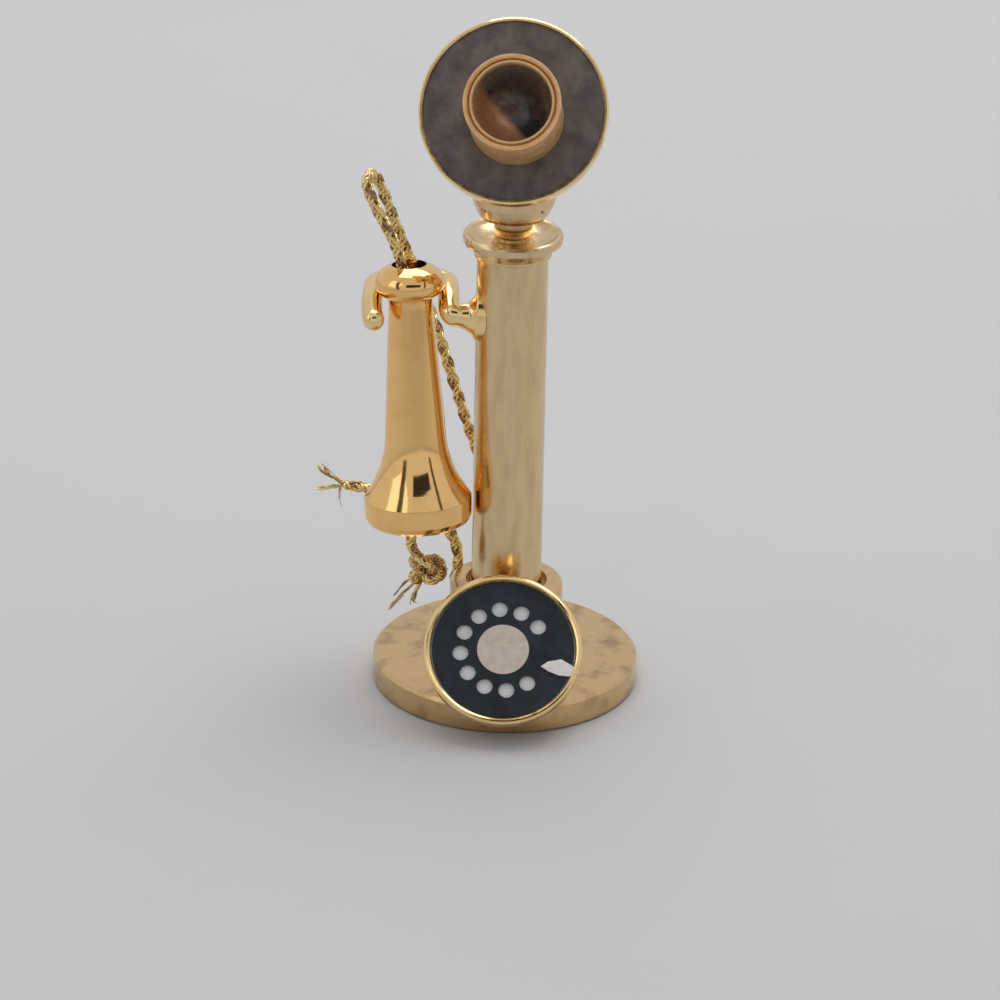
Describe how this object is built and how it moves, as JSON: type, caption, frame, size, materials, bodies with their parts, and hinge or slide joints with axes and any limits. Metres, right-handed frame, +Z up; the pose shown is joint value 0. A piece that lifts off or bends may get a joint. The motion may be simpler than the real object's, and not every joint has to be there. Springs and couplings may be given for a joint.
{
  "type": "rotary telephone",
  "caption": "Miniature candlestick telephone with a tilting mouthpiece head, a receiver on a fork hook, a rotary dial on a round foot and a metallic cord.",
  "frame": {"origin": "middle of the underside, on the axis of the post", "axes": "+Z up along the post, -Y to the front where the dial and mouthpiece face, +X to the right as seen from the front"},
  "size_m": [0.046, 0.0427, 0.0982],
  "materials": {
    "gold_plate": "polished gold plating with light patina and fine scratches",
    "gold_inner": "polished",
    "plain_brass": "turned, satin",
    "steel": "bright zinc plated",
    "face_black": "matt oxidised, mottled",
    "wheel_black": "gloss",
    "dial_white": "satin",
    "card_cream": "matt",
    "stop_bright": "bright",
    "felt": "felt",
    "metallic_cord": "metallic gold yarn"
  },
  "bodies": {
    "stand": {"base_shell": "gold_plate", "base_collar": "gold_plate", "post_tube": "gold_plate", "post_cap": "gold_plate", "receiver_hook": "gold_plate", "neck_stem": "gold_plate", "neck_cup": "gold_plate", "dial_bezel": "gold_plate", "dial_housing": "gold_plate", "base_plate": "plain_brass", "dial_bracket": "plain_brass", "dial_bushing": "plain_brass", "tilt_yoke": "plain_brass", "base_screws": "steel", "tie_rod": "steel", "tie_nut": "steel", "tie_washer": "steel", "hook_nut": "steel", "neck_pins": "steel", "tilt_pin": "steel", "friction_washers": "steel", "bracket_screws": "steel", "return_spring": "steel", "number_plate": "dial_white", "finger_stop": "stop_bright", "felt_pad": "felt", "cord_loop": "metallic_cord", "cord_fray": "metallic_cord"},
    "head": {"head_shell": "gold_plate", "head_rim": "gold_plate", "mouthpiece": "gold_plate", "mouthpiece_liner": "gold_inner", "head_lug": "plain_brass", "face_plate": "face_black", "lug_screws": "steel", "mouthpiece_screw": "steel"},
    "dial": {"finger_wheel": "wheel_black", "center_card": "card_cream", "dial_spindle": "steel", "spindle_clip": "steel"},
    "receiver": {"receiver_shell": "gold_plate", "receiver_cap": "gold_plate", "ear_cap": "gold_plate", "ear_plate": "face_black", "cord_lead": "metallic_cord", "cord_knot": "metallic_cord", "knot_fray": "metallic_cord"}
  },
  "joints": [
    {"name": "head_tilt", "type": "hinge", "parent": "stand", "child": "head", "pos_m": [0, 0, 0.0743], "axis": [0.9977, -0.068, 0], "range_deg": [-25, 16]},
    {"name": "dial_turn", "type": "hinge", "parent": "stand", "child": "dial", "pos_m": [-0.00026, -0.01613, 0.012], "axis": [0, 0.7071, -0.7071], "range_deg": [0, 325], "stiffness_Nm_per_rad": 0.00002, "springref_deg": -57.3},
    {"name": "receiver_lift", "type": "slide", "parent": "stand", "child": "receiver", "axis": [0, -0.9848, 0.1736], "range_m": [0, 0.016]}
  ]
}
